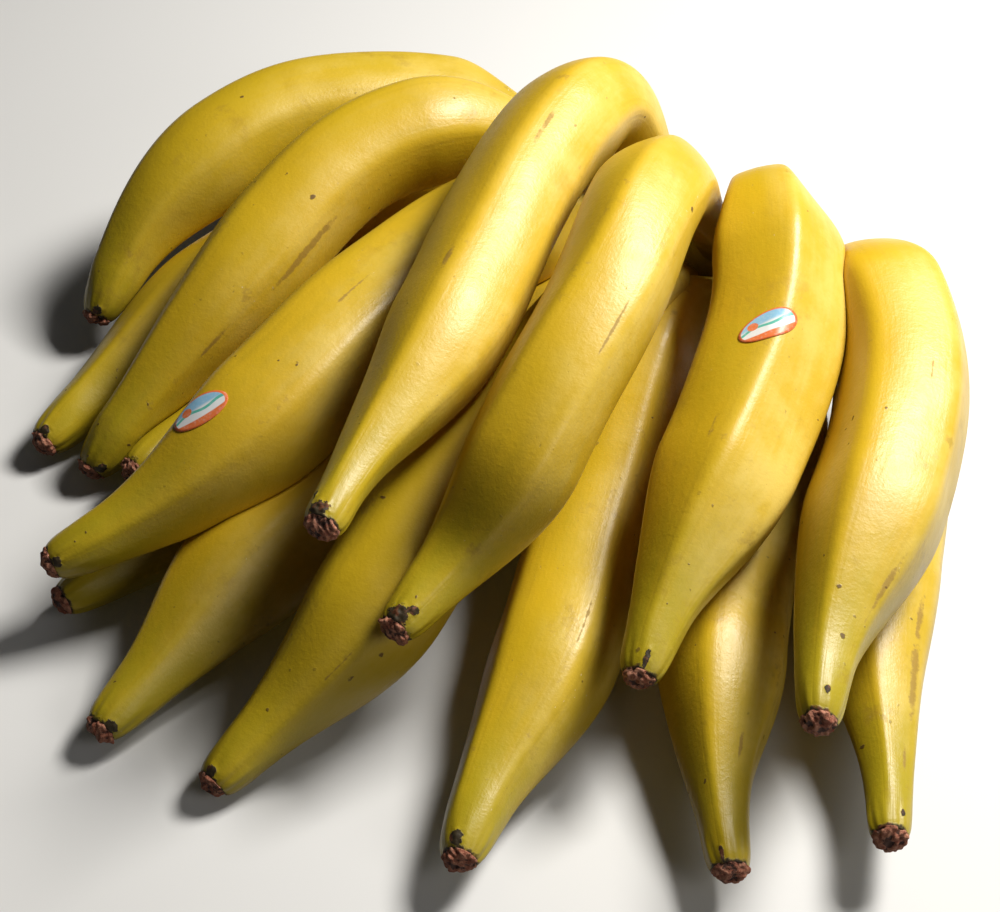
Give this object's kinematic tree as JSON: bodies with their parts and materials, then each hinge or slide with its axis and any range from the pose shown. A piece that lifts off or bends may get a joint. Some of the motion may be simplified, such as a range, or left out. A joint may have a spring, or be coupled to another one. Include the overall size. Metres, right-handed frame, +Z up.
{
  "type": "bunch of cooking bananas",
  "caption": "Bunch of yellow cooking bananas fanned out from one woody crown, with angular fingers and bottle-necked corky tips.",
  "frame": {"origin": "middle of the bunch in plan, on the surface that it lies on", "axes": "+Z up, -Y towards the blossom ends of the middle fingers, +X to the right seen from the blossom ends"},
  "size_m": [0.3726, 0.4084, 0.15],
  "materials": {
    "skin": "waxy yellow fruit skin, greener at the necks, with small brown freckles",
    "cork": "dry corky red-brown scar with darker patches",
    "crown": "dark fibrous cut stalk",
    "sticker": "glossy printed oval, plain coloured bands"
  },
  "bodies": {
    "root": {"banana_01": "skin", "banana_02": "skin", "banana_03": "skin", "banana_04": "skin", "banana_05": "skin", "banana_06": "skin", "banana_07": "skin", "banana_08": "skin", "banana_09": "skin", "banana_10": "skin", "banana_11": "skin", "banana_12": "skin", "banana_13": "skin", "banana_14": "skin", "banana_15": "skin", "banana_01_tip": "cork", "banana_02_tip": "cork", "banana_03_tip": "cork", "banana_04_tip": "cork", "banana_05_tip": "cork", "banana_06_tip": "cork", "banana_07_tip": "cork", "banana_08_tip": "cork", "banana_09_tip": "cork", "banana_10_tip": "cork", "banana_11_tip": "cork", "banana_12_tip": "cork", "banana_13_tip": "cork", "banana_14_tip": "cork", "banana_15_tip": "cork", "crown": "crown", "sticker_left": "sticker", "sticker_right": "sticker"}
  },
  "joints": []
}
